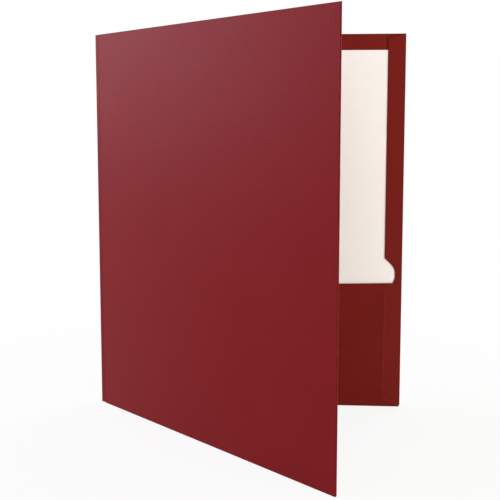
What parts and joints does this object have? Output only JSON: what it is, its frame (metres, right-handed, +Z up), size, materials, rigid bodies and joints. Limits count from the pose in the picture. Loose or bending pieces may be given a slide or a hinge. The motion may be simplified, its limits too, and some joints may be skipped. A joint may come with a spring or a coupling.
{
  "type": "two pocket folder",
  "caption": "Burgundy laminated card folder with a creased spine, inner pockets, folded side flaps and a loose letter sheet, standing part of the way open.",
  "frame": {"origin": "middle of the footprint as the folder stands, on the floor", "axes": "+Z up along the spine; the back panel stands square to Y with its outside towards +Y; +X from the spine towards the back panel's outer edge"},
  "size_m": [0.239, 0.1574, 0.2921],
  "materials": {
    "laminated_card": "burgundy solid board with a glossy laminate",
    "sheet_paper": "plain white bond",
    "glue": "dried clear glue"
  },
  "bodies": {
    "back": {"back_panel": "laminated_card", "right_pocket_panel": "laminated_card", "right_bottom_fold": "laminated_card", "right_glue_tab": "laminated_card", "right_tab_fold": "laminated_card", "right_glue_line": "glue"},
    "spine": {"spine_strip": "laminated_card", "back_spine_crease": "laminated_card", "front_spine_crease": "laminated_card"},
    "front": {"front_panel": "laminated_card", "left_pocket_panel": "laminated_card", "left_bottom_fold": "laminated_card", "left_glue_tab": "laminated_card", "left_tab_fold": "laminated_card", "left_glue_line": "glue"},
    "right_flap": {"right_side_flap": "laminated_card", "right_flap_crease": "laminated_card"},
    "left_flap": {"left_side_flap": "laminated_card", "left_flap_crease": "laminated_card"},
    "sheet": {"insert_sheet": "sheet_paper"}
  },
  "joints": [
    {"name": "back_crease_fold", "type": "hinge", "parent": "back", "child": "spine", "pos_m": [-0.11801, 0.07853, 0], "axis": [0, 0, -1], "range_deg": [-20.15, 69.85], "deforming": ["back_spine_crease"]},
    {"name": "front_crease_fold", "type": "hinge", "parent": "spine", "child": "front", "pos_m": [-0.11938, 0.07477, 0], "axis": [0, 0, -1], "range_deg": [-20.15, 69.85], "deforming": ["front_spine_crease"]},
    {"name": "right_flap_fold", "type": "hinge", "parent": "back", "child": "right_flap", "pos_m": [0.11884, 0.07808, 0], "axis": [0, 0, 1], "range_deg": [0, 175], "deforming": ["right_flap_crease"]},
    {"name": "left_flap_fold", "type": "hinge", "parent": "front", "child": "left_flap", "pos_m": [0.06155, -0.07808, 0], "axis": [0, 0, -1], "range_deg": [0, 175], "deforming": ["left_flap_crease"]},
    {"name": "sheet_slide", "type": "slide", "parent": "back", "child": "sheet", "axis": [0, 0, 1], "range_m": [0, 0.3]}
  ]
}
